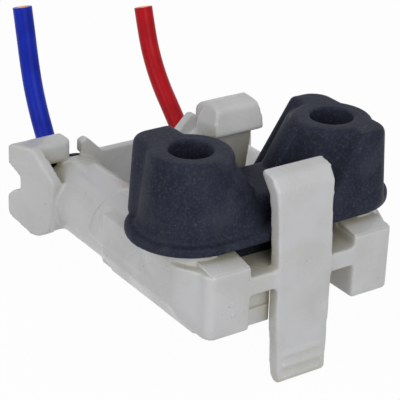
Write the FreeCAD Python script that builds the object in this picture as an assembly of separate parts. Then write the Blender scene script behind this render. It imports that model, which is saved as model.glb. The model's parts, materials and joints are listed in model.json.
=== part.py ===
import FreeCAD, Part
import math
import os

V = FreeCAD.Vector

# Twin-tower pigtail connector. All sizes are in millimetres.
# X runs across the connector, Y back towards the wires and Z up through the towers.
# The origin lies midway between the two tower axes, level with the underside of the body.

TOWER_PITCH = 25.4

# Body: two side blocks, joined in front by a shelf and above by the seal's cup
BLOCK_WIDTH = 7.4
BLOCK_INSET = 3.3
BLOCK_HEIGHT = 10.2
BLOCK_CORNER = 1.5
FRONT_REACH = 11.6
REAR_REACH = 17.8
DECK_HEIGHT = 11.9
SHELF_TOP = 8.4
SHELF_THICKNESS = 2.9
CUP_WALL = 1.3
WELL_RADIUS = 3.9
WELL_WALL = 1.5
WELL_FLOOR = 1.2

# Two barrels that carry the wires out at the back
BARREL_RADIUS = 5.9
BARREL_WALL = 1.5
BARREL_AXIS_HEIGHT = 5.1
BARREL_REAR = 33.6
COLLAR_RADIUS = 6.3
CHEEK_PROUD = 2.0
CHEEK_START = 9.4
CHEEK_FULL = 5.4
CHEEK_BACK = 14.5
CHEEK_FOOT = 3.4
RISER_REACH = 7.8
CHANNEL_RADIUS = 2.9
CHANNEL_END = 12.0

# Wall between the barrel ends, with an ear beside each wire
REAR_WALL_THICKNESS = 1.6
REAR_WALL_OVERLAP = 0.4
REAR_WALL_TOP = 10.8
EAR_TOP = 13.8
EAR_FOOT_INSET = 5.5
EAR_PEAK_INSET = 2.5
EAR_OUTER_INSET = 1.4

# Side hook beside each barrel: a flared plate, notched at the back, with an arm over the wire
HOOK_LEAD = 5.4
HOOK_TAIL = 2.4
HOOK_FRONT_REACH = 6.4
HOOK_BACK_REACH = 10.4
HOOK_SET = 1.2
HOOK_HEEL = 1.4
HOOK_TOE = 3.6
HOOK_FALL = 5.4
HOOK_THICKNESS = 1.8
HOOK_TOP = 14.4
HOOK_BOTTOM = -1.0
HOOK_NOTCH_LOW = 6.6
HOOK_NOTCH_HIGH = 9.2
HOOK_NOTCH_DEPTH = 1.8
ARM_DEPTH = 4.0
ARM_HEIGHT = 3.7
ARM_OFFSET = 0.9
NOSE_REACH = 6.7
NOSE_TAIL = 4.7
NOSE_BOTTOM = 7.8
CAP_GAP = 0.25

# Front latch: one lever, pinched at the tab and hooked at the head
LATCH_WIDTH = 9.8
LATCH_FLARE = 0.35
LATCH_THICKNESS = 2.3
LATCH_PROUD = 0.4
LATCH_LEAN = 0.9
TAB_DROP = 11.6
TAB_KICK = 0.7
TAB_NARROWING = 0.6
TAB_CORNER = 2.0
TAB_WAIST = 1.0
TAB_WAIST_RADIUS = 4.0
HEAD_HEIGHT = 22.9
HEAD_NOSE = 1.7
HEAD_DROP = 3.4
GRIP_RADIUS = 0.45
GRIP_PITCH = 1.9
GRIP_COUNT = 3

# Rear latch: a stem that rises behind the seal's flange, with a hooked head
REAR_LATCH_WIDTH = 8.8
REAR_CREST_WIDTH = 7.2
REAR_STEM_FACE = 9.9
REAR_STEM_THICKNESS = 2.2
REAR_LEAN = 1.4
REAR_BEND = 12.5
REAR_NECK = 21.2
REAR_TOP = 27.2
REAR_NOSE = 2.9
REAR_ROOT_LOW = 6.0
REAR_ROOT_HIGH = 10.6

# Small ribs of the moulding
STOP_LENGTH = 4.0
STOP_THICKNESS = 1.4
STOP_HEIGHT = 3.2
RAIL_WIDTH = 2.6
RAIL_DROP = 0.9
RAIL_START = -7.4
RAIL_LENGTH = 8.2

# Boot seal: a stadium flange and plug that carry two keyed towers
PLUG_RADIUS = 5.6
PLUG_CLEARANCE = 0.1
FLANGE_RADIUS = 9.1
FLANGE_SPREAD = 0.3
FLANGE_THICKNESS = 1.4
TOWER_TOP = 24.8
TOWER_BASE_RADIUS = 7.7
TOWER_TOP_RADIUS = 6.2
TOWER_EDGE = 1.0
TOWER_BORE_RADIUS = 3.3
KEY_OUTER = 5.1
KEY_INNER_LEFT = 2.8
KEY_INNER_RIGHT = 0.6
KEY_FLARE_RIGHT = 7.0
KEY_BACK = 9.7
KEY_FRONT_SHORT = 1.0
KEY_FRONT_LONG = 8.6
KEY_CORNER = 3.4
KEY_NEAR_CORNER = 1.0
KEY_DRAFT = 0.5
SADDLE_HEIGHT = 17.4
SADDLE_DEPTH = 11.0
FLANK_FRONT_HEIGHT = 22.6
FLANK_REAR_HEIGHT = 23.8
FLANK_REACH = 13.2
FLANK_BASE = 8.0
FLANK_CREST = 6.4
FLANK_FRONT_TOP = 6.1
FLANK_REAR_TOP = 7.8

# Wire seals, terminals and wires
SEAL_CAP_RADIUS = 5.9
SEAL_CAP_THICKNESS = 1.0
SEAL_LENGTH = 9.0
SEAL_CORE_RADIUS = 3.6
SEAL_RIB_WIDTH = 1.4
SEAL_RIB_PITCH = 2.6
SEAL_RIB_COUNT = 3
SEAL_CLEARANCE = 0.05
WIRE_RADIUS = 1.6
STRAND_RADIUS = 0.95
SOCKET_RADIUS = 2.7
SOCKET_WALL = 0.6
SOCKET_TOP = 7.8
SOCKET_SLOT = 0.8
NECK_WIDTH = 2.4
NECK_THICKNESS = 0.7
CRIMP_START = 8.0
CRIMP_LENGTH = 5.0
CRIMP_WALL = 0.6
GRIP_START = 15.0
GRIP_LENGTH = 4.0
STRIP_LENGTH = 6.5

# Routes of the two wires, as chosen points: how far behind the barrel's mouth, and how high
BLUE_ROUTE = [
    (-1.0, 5.1), (2.6, 5.1), (4.9, 5.8), (6.8, 7.4), (8.7, 10.5), (11.0, 14.2), (12.9, 18.2), (14.2, 22.4),
    (15.2, 26.8), (16.3, 31.2),
]
RED_ROUTE = [
    (-1.0, 5.1), (2.7, 5.1), (5.3, 6.1), (7.5, 8.3), (10.1, 10.8), (13.3, 13.8), (15.9, 17.3), (17.9, 21.3),
    (19.4, 26.2),
]

# Places worked out from the sizes above
TOWER_X = TOWER_PITCH / 2
BLOCK_INNER = TOWER_X - BLOCK_INSET
BLOCK_OUTER = BLOCK_INNER + BLOCK_WIDTH
BARREL_BORE = BARREL_RADIUS - BARREL_WALL
CUP_RADIUS = PLUG_RADIUS + PLUG_CLEARANCE
CUP_OUTER = CUP_RADIUS + CUP_WALL
FLANGE_TOP = DECK_HEIGHT + FLANGE_THICKNESS
SEAL_FACE = BARREL_REAR + SEAL_CAP_THICKNESS
HOOK_FRONT = BARREL_REAR - HOOK_LEAD
HOOK_BACK = BARREL_REAR + HOOK_TAIL
NOSE_BACK = BARREL_REAR + NOSE_TAIL
HOOK_FRONT_X = TOWER_X + HOOK_FRONT_REACH
HOOK_BACK_X = TOWER_X + HOOK_BACK_REACH
ARM_INNER = TOWER_X + ARM_OFFSET
NOSE_OUTER = TOWER_X + NOSE_REACH
WIRE_JOINT = BARREL_REAR + BLUE_ROUTE[0][0]


def rounded_wire(corners, place):
    """Closed wire through (u, v, radius) corners, each one rounded by its own radius."""
    edges = []
    joints = []
    count = len(corners)
    for i in range(count):
        u, v, radius = corners[i]
        before = corners[i - 1]
        after = corners[(i + 1) % count]
        a = math.hypot(before[0] - u, before[1] - v)
        b = math.hypot(after[0] - u, after[1] - v)
        da = ((before[0] - u) / a, (before[1] - v) / a)
        db = ((after[0] - u) / b, (after[1] - v) / b)
        if radius == 0:
            joints.append(((u, v), None, (u, v)))
            continue
        half = math.acos(max(-1.0, min(1.0, da[0] * db[0] + da[1] * db[1]))) / 2
        cut = radius / math.tan(half)
        middle = radius / math.sin(half) - radius
        bisector = (da[0] + db[0], da[1] + db[1])
        length = math.hypot(*bisector)
        start = (u + da[0] * cut, v + da[1] * cut)
        end = (u + db[0] * cut, v + db[1] * cut)
        top = (u + bisector[0] / length * middle, v + bisector[1] / length * middle)
        joints.append((start, top, end))
    for i in range(count):
        start, top, end = joints[i]
        if top is not None:
            edges.append(Part.Arc(place(*start), place(*top), place(*end)).toShape())
        following = joints[(i + 1) % count][0]
        if math.dist(end, following) > 1e-6:
            edges.append(Part.makeLine(place(*end), place(*following)))
    return Part.Wire(edges)


def plate_xy(corners, low, high):
    """Prism of an outline in plan, from height low to high."""
    face = Part.Face(rounded_wire(corners, lambda x, y: V(x, y, low)))
    return face.extrude(V(0, 0, high - low))


def plate_yz(corners, left, right):
    """Prism of a side outline, from x = left to right."""
    face = Part.Face(rounded_wire(corners, lambda y, z: V(left, y, z)))
    return face.extrude(V(right - left, 0, 0))


def plate_xz(corners, front, back):
    """Prism of a front outline, from y = front to back."""
    face = Part.Face(rounded_wire(corners, lambda x, z: V(x, front, z)))
    return face.extrude(V(0, back - front, 0))


def box(x0, x1, y0, y1, z0, z1):
    """Box between two corners."""
    return Part.makeBox(x1 - x0, y1 - y0, z1 - z0, V(x0, y0, z0))


def round_bar_y(x, z, radius, y0, y1):
    """Cylinder along Y."""
    return Part.makeCylinder(radius, y1 - y0, V(x, y0, z), V(0, 1, 0))


def post(x, y, radius, z0, z1):
    """Cylinder along Z."""
    return Part.makeCylinder(radius, z1 - z0, V(x, y, z0), V(0, 0, 1))


def stadium(half_pitch, radius, low, high):
    """Upright prism with straight sides and two round ends."""
    ends = post(-half_pitch, 0, radius, low, high).fuse(post(half_pitch, 0, radius, low, high))
    return ends.fuse(box(-half_pitch, half_pitch, -radius, radius, low, high)).removeSplitter()


def mirrored(shape):
    """Copy on the other side of the middle plane."""
    return shape.mirror(V(0, 0, 0), V(1, 0, 0))


def both_sides(shape):
    """A shape and its mirror image, as one list."""
    return [shape, mirrored(shape)]


def side_block():
    """Block beside the latch, with a rounded outer front corner, running back along the barrel."""
    r = BLOCK_CORNER
    corners = [
        (BLOCK_INNER, -FRONT_REACH, 0.4), (BLOCK_OUTER, -FRONT_REACH, r),
        (BLOCK_OUTER, REAR_REACH, 0.6), (BLOCK_INNER, REAR_REACH, 0.6),
    ]
    block = plate_xy(corners, 0, BLOCK_HEIGHT)
    chin = [
        (-FRONT_REACH - 1, -1, 0), (-FRONT_REACH + r, -1, 0), (-FRONT_REACH + r, 0, 0),
        (-FRONT_REACH - 1, r + 1, 0),
    ]
    cutter = plate_yz(chin, BLOCK_OUTER - 2 * r, BLOCK_OUTER + 1)
    return block.cut(cutter)


def cheek():
    """Side wall about the front half of the barrel, bellied out above a narrower foot."""
    def outline(proud, z):
        outer = BLOCK_OUTER + proud
        corners = [
            (BLOCK_INNER, -FRONT_REACH, 0.4), (BLOCK_OUTER, -FRONT_REACH, BLOCK_CORNER),
            (BLOCK_OUTER, -CHEEK_START, 2.0), (outer, -CHEEK_FULL, 3.0), (outer, CHEEK_BACK, 0.6),
            (BLOCK_INNER, CHEEK_BACK, 0.6),
        ]
        return rounded_wire(corners, lambda x, y: V(x, y, z))
    high = outline(CHEEK_PROUD, CHEEK_FOOT)
    foot = Part.makeLoft([outline(0.2, 0), high], True, True)
    upper = Part.Face(high).extrude(V(0, 0, BLOCK_HEIGHT - CHEEK_FOOT))
    side = BLOCK_OUTER + CHEEK_PROUD
    under_flange = [
        (TOWER_X, -RISER_REACH, 0), (BLOCK_OUTER - 0.6, -RISER_REACH, 3.0), (side, 1.6 - CHEEK_FULL, 3.0),
        (side, CHEEK_FULL, 3.0), (TOWER_X, RISER_REACH, 0),
    ]
    return foot.multiFuse([upper, plate_xy(under_flange, BLOCK_HEIGHT - 0.5, DECK_HEIGHT)])


def tower_root():
    """Cone under one tower that blends the cup into the cheek."""
    return Part.makeCone(BARREL_RADIUS, CUP_OUTER, DECK_HEIGHT - CHEEK_FOOT, V(TOWER_X, 0, CHEEK_FOOT))


def barrel():
    """Outside of one barrel, from its closed front end to the open rear, with a half collar at the body."""
    tube = round_bar_y(TOWER_X, BARREL_AXIS_HEIGHT, BARREL_RADIUS, -BARREL_RADIUS, BARREL_REAR)
    collar = round_bar_y(TOWER_X, BARREL_AXIS_HEIGHT, COLLAR_RADIUS, 0, REAR_REACH)
    return tube.fuse(collar.common(box(0, 2 * TOWER_X, 0, REAR_REACH, BARREL_AXIS_HEIGHT, DECK_HEIGHT)))


def well_outside():
    """Round wall that stands about the terminal under one tower."""
    radius = WELL_RADIUS + WELL_WALL
    return post(TOWER_X, 0, radius, 0, SHELF_TOP).common(box(0, BLOCK_OUTER, -radius, radius, 0, SHELF_TOP))


def hollows():
    """Everything the moulding is cored out for."""
    pocket = stadium(TOWER_X, CUP_RADIUS, SHELF_TOP, DECK_HEIGHT + 1)
    window = box(-BLOCK_INNER, BLOCK_INNER, -FRONT_REACH, 0, SHELF_TOP, DECK_HEIGHT + 1)
    well = post(TOWER_X, 0, WELL_RADIUS, WELL_FLOOR, SHELF_TOP + 1)
    channel = round_bar_y(TOWER_X, BARREL_AXIS_HEIGHT, CHANNEL_RADIUS, 0, CHANNEL_END + 1)
    bore = round_bar_y(TOWER_X, BARREL_AXIS_HEIGHT, BARREL_BORE, CHANNEL_END, BARREL_REAR + 1)
    return [pocket, window] + both_sides(well) + both_sides(channel) + both_sides(bore)


def shelf():
    """Shelf between the blocks, whose front edge carries the latch."""
    return box(-BLOCK_INNER, BLOCK_INNER, -FRONT_REACH, 0, SHELF_TOP - SHELF_THICKNESS, SHELF_TOP)


def cap_space(y):
    """Space kept free for the right-hand seal's cap, from the barrel's mouth back to depth y."""
    return round_bar_y(TOWER_X, BARREL_AXIS_HEIGHT, SEAL_CAP_RADIUS + CAP_GAP, BARREL_REAR, y)


def rear_wall():
    """Wall between the barrel ends, which rises in an ear beside each wire."""
    foot = TOWER_X - EAR_FOOT_INSET
    peak = TOWER_X - EAR_PEAK_INSET
    outer = TOWER_X - EAR_OUTER_INSET
    right = [
        (foot, REAR_WALL_TOP, 1.5), (peak, EAR_TOP, 0.9), (outer, EAR_TOP - 0.6, 0.5), (outer, 2.0, 0),
    ]
    left = [(-x, z, r) for x, z, r in reversed(right)]
    front = BARREL_REAR - REAR_WALL_OVERLAP
    wall = plate_xz(left + right, front, front + REAR_WALL_THICKNESS)
    mouth = cap_space(HOOK_BACK)
    for hole in both_sides(mouth):
        wall = wall.cut(hole)
    return wall


def hook_x(y):
    """Distance of the flared plate's outer face from the middle plane at depth y."""
    slope = (HOOK_BACK_X - HOOK_FRONT_X) / (HOOK_BACK - HOOK_FRONT)
    return HOOK_FRONT_X + (y - HOOK_FRONT) * slope


def side_hook():
    """Flared plate beside the right-hand barrel, with its notch, its arm and the nose behind the mouth."""
    notch = HOOK_BACK - HOOK_NOTCH_DEPTH
    side = [
        (HOOK_FRONT + HOOK_SET, HOOK_BOTTOM + HOOK_HEEL, 1.5), (HOOK_FRONT + HOOK_TOE, HOOK_BOTTOM, 1.5),
        (HOOK_BACK + 0.3, HOOK_BOTTOM + 3.0, 1.5), (HOOK_BACK + 0.4, HOOK_NOTCH_LOW - 1.2, 1.2),
        (HOOK_BACK - 0.8, HOOK_NOTCH_LOW, 0.6), (notch, HOOK_NOTCH_LOW, 0.4), (notch, HOOK_NOTCH_HIGH, 0.5),
        (HOOK_BACK, HOOK_TOP - ARM_HEIGHT + 0.3, 0.4), (HOOK_BACK, HOOK_TOP, 0.4),
        (HOOK_BACK - ARM_DEPTH, HOOK_TOP, 0.8), (HOOK_FRONT, HOOK_TOP - HOOK_FALL, 1.2),
    ]
    near, far = HOOK_FRONT - 1, HOOK_BACK + 2
    band = [
        (hook_x(near) - HOOK_THICKNESS, near, 0), (hook_x(near), near, 0), (hook_x(far), far, 0),
        (hook_x(far) - HOOK_THICKNESS, far, 0),
    ]
    plate = plate_yz(side, BLOCK_INNER, HOOK_BACK_X + 2)
    plate = plate.common(plate_xy(band, HOOK_BOTTOM - 1, HOOK_TOP + 1))
    arm_front = HOOK_BACK - ARM_DEPTH
    arm_side = [
        (arm_front, HOOK_TOP - ARM_HEIGHT, 1.0), (HOOK_BACK, HOOK_TOP - ARM_HEIGHT, 0.3),
        (HOOK_BACK, HOOK_TOP, 0.4), (arm_front, HOOK_TOP, 0.8),
    ]
    arm_plan = [
        (ARM_INNER, arm_front, 1.5), (hook_x(arm_front), arm_front, 0), (hook_x(HOOK_BACK), HOOK_BACK, 0),
        (ARM_INNER, HOOK_BACK, 1.0),
    ]
    arm = plate_yz(arm_side, BLOCK_INNER, HOOK_BACK_X + 1)
    arm = arm.common(plate_xy(arm_plan, NOSE_BOTTOM, HOOK_TOP))
    behind_cap = SEAL_FACE + CAP_GAP
    arm = arm.cut(cap_space(behind_cap))
    over_cap = BARREL_AXIS_HEIGHT + SEAL_CAP_RADIUS + CAP_GAP
    nose_side = [
        (arm_front, HOOK_TOP - 0.2, 0.8), (HOOK_BACK, HOOK_TOP - 0.1, 1.5),
        (NOSE_BACK - 0.4, HOOK_TOP - 1.8, 1.2), (NOSE_BACK, NOSE_BOTTOM + 1.2, 0.8),
        (NOSE_BACK - 0.8, NOSE_BOTTOM, 0.6), (behind_cap, NOSE_BOTTOM, 0.3),
        (behind_cap, over_cap, 0.2), (arm_front, over_cap + 0.5, 0.6),
    ]
    nose_plan = [
        (ARM_INNER, arm_front - 0.1, 1.5), (NOSE_OUTER, arm_front - 0.1, 0.5),
        (NOSE_OUTER, NOSE_BACK + 0.1, 1.5), (ARM_INNER, NOSE_BACK + 0.1, 1.8),
    ]
    nose = plate_yz(nose_side, BLOCK_INNER, HOOK_BACK_X)
    nose = nose.common(plate_xy(nose_plan, NOSE_BOTTOM - 1, HOOK_TOP + 1))
    web_end = hook_x(HOOK_FRONT + 1.0) - 0.6
    web_top = BARREL_AXIS_HEIGHT + 3.6
    web = box(TOWER_X + BARREL_RADIUS - 1.6, web_end, HOOK_FRONT + 0.6, HOOK_FRONT + 2.2, 0.8, web_top)
    return plate.multiFuse([arm, nose, web])


def latch():
    """Latch lever: pinch tab below the shelf, leaning arm above it and a hooked head."""
    face = -FRONT_REACH - LATCH_PROUD
    back = face + LATCH_THICKNESS
    bend = SHELF_TOP + 1.0
    neck = HEAD_HEIGHT - HEAD_DROP
    nose = back + LATCH_LEAN + HEAD_NOSE
    side = [
        (face - TAB_KICK, -TAB_DROP, 0.9), (face, 1.5, 3.0), (face, bend, 8.0),
        (face + LATCH_LEAN, HEAD_HEIGHT - 2.4, 1.5), (face + LATCH_LEAN + 1.4, HEAD_HEIGHT - 0.5, 1.2),
        (nose, HEAD_HEIGHT, 0.4), (nose, HEAD_HEIGHT - 1.2, 0.4), (back + LATCH_LEAN, neck, 0.5),
        (back, bend, 8.0), (back - 0.1, 0.5, 6.0), (back - 0.6, -TAB_DROP + 2.0, 1.0),
    ]
    half = LATCH_WIDTH / 2
    foot = half - TAB_NARROWING
    wide = half + LATCH_FLARE
    front = [
        (-half, TAB_WAIST, TAB_WAIST_RADIUS), (-foot, -TAB_DROP - 0.2, TAB_CORNER),
        (foot, -TAB_DROP - 0.2, TAB_CORNER), (half, TAB_WAIST, TAB_WAIST_RADIUS),
        (half, neck - 3, 2.0),
        (wide, HEAD_HEIGHT - 1, 0), (wide, HEAD_HEIGHT + 1, 0), (-wide, HEAD_HEIGHT + 1, 0),
        (-wide, HEAD_HEIGHT - 1, 0), (-half, neck - 3, 2.0),
    ]
    lever = plate_yz(side, -half - 1, half + 1)
    lever = lever.common(plate_xz(front, face - TAB_KICK - 1, nose + 1))
    slope = TAB_KICK / (TAB_DROP + 1.5)
    for i in range(GRIP_COUNT):
        z = -TAB_DROP + 2.2 + i * GRIP_PITCH
        y = face - TAB_KICK + (z + TAB_DROP) * slope + 0.1
        ridge = Part.makeCylinder(GRIP_RADIUS, LATCH_WIDTH - 2.8, V(-half + 1.4, y, z), V(1, 0, 0))
        lever = lever.fuse(ridge)
    return lever


def rear_latch():
    """Rear latch: a root on the cup, a stem that leans over the flange and a hooked head."""
    face = REAR_STEM_FACE
    back = face + REAR_STEM_THICKNESS
    neck = face - REAR_LEAN
    nape = neck + REAR_STEM_THICKNESS + 0.5
    nose = neck - REAR_NOSE
    side = [
        (CUP_OUTER - 0.7, REAR_ROOT_LOW, 0), (back, REAR_ROOT_LOW, 0.8), (back, REAR_BEND, 3.0),
        (nape, REAR_NECK + 0.7, 1.5), (nape - 0.3, REAR_TOP - 3.0, 0.8), (neck + 0.8, REAR_TOP, 0.6),
        (nose + 0.8, REAR_TOP - 0.6, 1.0), (nose, REAR_NECK + 1.3, 0.4), (neck, REAR_NECK, 0.6),
        (face, REAR_BEND, 3.0), (face, REAR_ROOT_HIGH, 0.5), (CUP_OUTER - 0.7, REAR_ROOT_HIGH, 0),
    ]
    half = REAR_LATCH_WIDTH / 2
    crest = REAR_CREST_WIDTH / 2
    front = [
        (-half, REAR_ROOT_LOW - 1, 0), (half, REAR_ROOT_LOW - 1, 0), (half, REAR_NECK + 2.8, 1.5),
        (crest, REAR_TOP, 1.0), (-crest, REAR_TOP, 1.0), (-half, REAR_NECK + 2.8, 1.5),
    ]
    return plate_yz(side, -half - 1, half + 1).common(plate_xz(front, nose - 1, back + 1))


def stop_rib():
    """Rib beside the tab that stops it being pushed in too far."""
    return box(-BLOCK_INNER - 0.5, -BLOCK_INNER + STOP_LENGTH, -FRONT_REACH + 3.0,
               -FRONT_REACH + 3.0 + STOP_THICKNESS, 0, STOP_HEIGHT)


def foot_rail():
    """Low rail under one block."""
    outer = BLOCK_OUTER - 0.5
    return box(outer - RAIL_WIDTH, outer, RAIL_START, RAIL_START + RAIL_LENGTH, -RAIL_DROP, 0.5)


def housing():
    """The nylon moulding, in one piece with its latch and its hooks."""
    body = box(-TOWER_X, TOWER_X, -CUP_OUTER, CUP_OUTER, SHELF_TOP - SHELF_THICKNESS, DECK_HEIGHT)
    parts = [shelf(), rear_wall()]
    for piece in (side_block(), cheek(), tower_root(), barrel(), well_outside(), side_hook(), foot_rail()):
        parts += both_sides(piece)
    body = body.multiFuse(parts)
    for hollow in hollows():
        body = body.cut(hollow)
    return body.multiFuse([latch(), rear_latch(), stop_rib()]).removeSplitter()


def tower_cone():
    """Round part of the right-hand tower, drafted and with a rolled top edge."""
    top = TOWER_TOP
    corners = [
        (0, FLANGE_TOP - 0.5, 0), (TOWER_BASE_RADIUS, FLANGE_TOP - 0.5, 0),
        (TOWER_TOP_RADIUS, top, TOWER_EDGE), (0, top, 0),
    ]
    face = Part.Face(rounded_wire(corners, lambda r, z: V(r, 0, z)))
    cone = face.revolve(V(0, 0, 0), V(0, 0, 1), 360)
    cone.translate(V(TOWER_X, 0, 0))
    return cone


def key_outline(front, reach, back, corner, grow, z):
    """Plan of the key on the outer side of the right-hand tower, at height z."""
    inner = TOWER_X - reach - grow
    outer = TOWER_X + KEY_OUTER + grow
    corners = [
        (inner, -front - grow, min(KEY_NEAR_CORNER, front)), (outer, -front - grow, min(corner, front / 2)),
        (outer, back + grow, corner), (inner, back + grow, KEY_NEAR_CORNER),
    ]
    return rounded_wire(corners, lambda x, y: V(x, y, z))


def tower_key(front, reach, flare=0.0):
    """Squarish key of the right-hand tower; flare is its extra spread to the middle at the foot."""
    low = key_outline(front, reach + flare, KEY_BACK, KEY_CORNER, KEY_DRAFT, FLANGE_TOP - 0.5)
    high = key_outline(front, reach, KEY_BACK, KEY_CORNER, 0, TOWER_TOP)
    key = Part.makeLoft([low, high], True, True)
    rim = [edge for edge in key.Edges if all(abs(v.Z - TOWER_TOP) < 1e-6 for v in edge.Vertexes)]
    return key.makeFillet(TOWER_EDGE, rim)


def flank_outline(left, right, half, z):
    """Long round-ended plan of the flank at height z."""
    round_end = half - 0.1
    corners = [
        (left, -half, round_end), (right, -half, round_end), (right, half, round_end), (left, half, round_end),
    ]
    return rounded_wire(corners, lambda x, y: V(x, y, z))


def flank(end, height, half):
    """Sloping flank from the right-hand tower down to the saddle, at its front (-1) or back (1)."""
    low = flank_outline(TOWER_X - FLANK_REACH, TOWER_X + FLANK_BASE, FLANK_BASE, FLANGE_TOP - 0.5)
    high = flank_outline(TOWER_X - FLANK_CREST, TOWER_X + half, half, height)
    whole = Part.makeLoft([low, high], True, True)
    near, far = (0, FLANK_BASE + 1) if end > 0 else (-FLANK_BASE - 1, 0)
    return whole.common(box(-TOWER_X, TOWER_X, near, far, DECK_HEIGHT, TOWER_TOP))


def saddle():
    """Low web that joins the two towers."""
    half = SADDLE_DEPTH / 2
    side = [
        (-half - 0.8, FLANGE_TOP - 0.5, 0), (half + 0.8, FLANGE_TOP - 0.5, 0), (half, SADDLE_HEIGHT, 1.5),
        (-half, SADDLE_HEIGHT, 1.5),
    ]
    return plate_yz(side, -TOWER_X, TOWER_X)


def boot_seal():
    """Rubber seal: plug, flange and two keyed towers, moulded as one."""
    flange = stadium(TOWER_X + FLANGE_SPREAD, FLANGE_RADIUS, DECK_HEIGHT, FLANGE_TOP)
    rim = [edge for edge in flange.Edges if all(abs(v.Z - FLANGE_TOP) < 1e-6 for v in edge.Vertexes)]
    flange = flange.makeFillet(0.4, rim)
    plug = stadium(TOWER_X, PLUG_RADIUS, SHELF_TOP, DECK_HEIGHT + 0.5)
    parts = [flange, saddle(), mirrored(flank(-1, FLANK_FRONT_HEIGHT, FLANK_FRONT_TOP))]
    parts.append(flank(1, FLANK_REAR_HEIGHT, FLANK_REAR_TOP))
    parts += both_sides(tower_cone()) + [mirrored(tower_key(KEY_FRONT_SHORT, KEY_INNER_LEFT))]
    parts.append(tower_key(KEY_FRONT_LONG, KEY_INNER_RIGHT, KEY_FLARE_RIGHT))
    body = plug.multiFuse(parts)
    for x in (-TOWER_X, TOWER_X):
        body = body.cut(post(x, 0, TOWER_BORE_RADIUS, SHELF_TOP - 1, TOWER_TOP + 1))
    return body.removeSplitter()


def wire_seal(x):
    """Ribbed plug round one wire, with a cap that closes the barrel."""
    front = BARREL_REAR - SEAL_LENGTH
    outside = round_bar_y(x, BARREL_AXIS_HEIGHT, SEAL_CORE_RADIUS, front, BARREL_REAR)
    for i in range(SEAL_RIB_COUNT):
        y = front + 0.6 + i * SEAL_RIB_PITCH
        outside = outside.fuse(
            round_bar_y(x, BARREL_AXIS_HEIGHT, BARREL_BORE - SEAL_CLEARANCE, y, y + SEAL_RIB_WIDTH))
    cap = round_bar_y(x, BARREL_AXIS_HEIGHT, SEAL_CAP_RADIUS, BARREL_REAR, SEAL_FACE)
    cap = cap.makeFillet(0.4, [edge for edge in cap.Edges if edge.BoundBox.YMin > SEAL_FACE - 1e-3])
    bore = round_bar_y(x, BARREL_AXIS_HEIGHT, WIRE_RADIUS, front - 1, SEAL_FACE + 1)
    return outside.fuse(cap).cut(bore).removeSplitter()


def terminal(x):
    """Right-angle terminal: an upright socket, a neck and two crimps on the wire."""
    z = BARREL_AXIS_HEIGHT
    socket = post(x, 0, SOCKET_RADIUS, WELL_FLOOR + 0.2, SOCKET_TOP)
    neck = box(x - NECK_WIDTH / 2, x + NECK_WIDTH / 2, 0, GRIP_START + GRIP_LENGTH,
               z - STRAND_RADIUS - CRIMP_WALL, z - STRAND_RADIUS)
    crimp = round_bar_y(x, z, STRAND_RADIUS + CRIMP_WALL, CRIMP_START, CRIMP_START + CRIMP_LENGTH)
    grip = round_bar_y(x, z, WIRE_RADIUS + CRIMP_WALL, GRIP_START, GRIP_START + GRIP_LENGTH)
    shape = socket.fuse(neck).fuse(crimp).fuse(grip)
    top = SOCKET_TOP + 1
    shape = shape.cut(post(x, 0, SOCKET_RADIUS - SOCKET_WALL, WELL_FLOOR + 0.2 + SOCKET_WALL, top))
    shape = shape.cut(box(x - SOCKET_SLOT / 2, x + SOCKET_SLOT / 2, -SOCKET_RADIUS - 1, 0, z, top))
    shape = shape.cut(round_bar_y(x, z, STRAND_RADIUS, SOCKET_RADIUS, GRIP_START))
    shape = shape.cut(round_bar_y(x, z, WIRE_RADIUS, GRIP_START - 1.0, GRIP_START + GRIP_LENGTH + 1))
    return shape.removeSplitter()


def strands(x):
    """Bare copper conductor from the crimp to the barrel's mouth."""
    return round_bar_y(x, BARREL_AXIS_HEIGHT, STRAND_RADIUS, CRIMP_START, WIRE_JOINT)


def inner_insulation(x):
    """Insulated end of the wire inside the barrel."""
    tube = round_bar_y(x, BARREL_AXIS_HEIGHT, WIRE_RADIUS, CRIMP_START + STRIP_LENGTH, WIRE_JOINT)
    return tube.cut(round_bar_y(x, BARREL_AXIS_HEIGHT, STRAND_RADIUS, CRIMP_START, WIRE_JOINT + 1))


def cord(name, x, route, radius):
    """Round cord in the plane at x, along straight runs joined by tangent arcs; prints each arc's radius."""
    points = [V(x, BARREL_REAR + behind, z) for behind, z in route]
    edges = []
    start = points[0]
    radii = []
    for before, corner, after in zip(points, points[1:], points[2:]):
        back = (before - corner).normalize()
        ahead = (after - corner).normalize()
        turn = math.pi - back.getAngle(ahead)
        cut = 0.45 * min(before.distanceToPoint(corner), after.distanceToPoint(corner))
        arc_radius = cut / math.tan(turn / 2)
        radii.append(round(arc_radius, 1))
        bisector = (back + ahead).normalize()
        middle = corner + bisector * (math.hypot(arc_radius, cut) - arc_radius)
        enter = corner + back * cut
        leave = corner + ahead * cut
        edges.append(Part.LineSegment(start, enter).toShape())
        edges.append(Part.Arc(enter, middle, leave).toShape())
        start = leave
    edges.append(Part.LineSegment(start, points[-1]).toShape())
    path = Part.Wire(edges)
    section = Part.Wire([Part.makeCircle(radius, points[0], points[1] - points[0])])
    tube = path.makePipeShell([section], True, False)
    expected = math.pi * radius ** 2 * path.Length
    ratio = round(tube.Volume / expected, 4)
    print(name, "length", round(path.Length, 2), "radii", radii, "volume ratio", ratio)
    return tube


def build():
    """All sub-parts by node name."""
    nodes = {"housing": housing(), "boot_seal": boot_seal()}
    sides = (("left", "blue", -TOWER_X, BLUE_ROUTE), ("right", "red", TOWER_X, RED_ROUTE))
    for side, colour, x, route in sides:
        nodes["wire_seal_" + side] = wire_seal(x)
        nodes["terminal_" + side] = terminal(x)
        nodes[colour + "_strands"] = strands(x)
        nodes[colour + "_wire_end"] = inner_insulation(x)
        nodes[colour + "_wire"] = cord(colour + "_wire", x, route, WIRE_RADIUS)
    return nodes


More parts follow.
